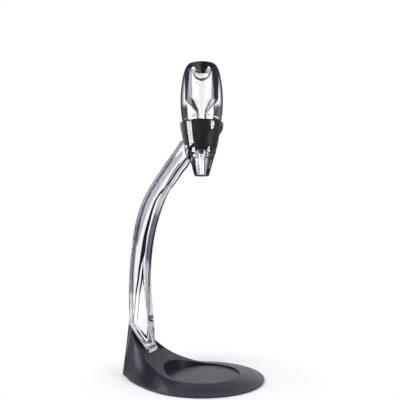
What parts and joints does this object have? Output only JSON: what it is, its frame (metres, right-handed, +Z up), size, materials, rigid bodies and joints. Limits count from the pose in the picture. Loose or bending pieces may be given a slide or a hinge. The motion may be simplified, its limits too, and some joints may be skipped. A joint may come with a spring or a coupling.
{
  "type": "wine aerator",
  "caption": "Clear aerator with black grip band resting in the ring of a curved clear arm, on a dark teardrop base with a round glass seat.",
  "frame": {"origin": "on the table plane, below the centre of the round glass seat and on the aerator's axis", "axes": "+Z up along the aerator's axis; -X towards the tail of the base and the arm, +X to the front; +Y to the left seen from the tail"},
  "size_m": [0.188, 0.158, 0.4],
  "materials": {
    "base_plastic": "satin charcoal moulding",
    "iron": "raw casting",
    "steel": "zinc plated",
    "pad_rubber": "fine textured sheet",
    "liner_rubber": "ribbed moulding",
    "clear_acrylic": "polished clear acrylic",
    "band_rubber": "matte silicone",
    "seal_rubber": "moulded seal",
    "black_plastic": "polished black moulding"
  },
  "bodies": {
    "base": {"base_shell": "base_plastic", "base_weight": "iron", "base_cover": "base_plastic", "cover_screws": "steel", "base_pad": "pad_rubber", "foot_liner": "liner_rubber"},
    "arm": {"arm": "clear_acrylic"},
    "aerator": {"vessel": "clear_acrylic", "grip_band": "band_rubber", "spout": "clear_acrylic", "spout_seal": "seal_rubber"},
    "diffuser": {"diffuser_ring": "black_plastic", "diffuser_cup": "clear_acrylic"}
  },
  "joints": [
    {"name": "arm_lift", "type": "slide", "parent": "base", "child": "arm", "axis": [0, 0, 1], "range_m": [0, 0.06]},
    {"name": "aerator_lift", "type": "slide", "parent": "arm", "child": "aerator", "axis": [0, 0, 1], "range_m": [0, 0.08]},
    {"name": "diffuser_lift", "type": "slide", "parent": "aerator", "child": "diffuser", "axis": [0, 0, 1], "range_m": [0, 0.035]}
  ]
}
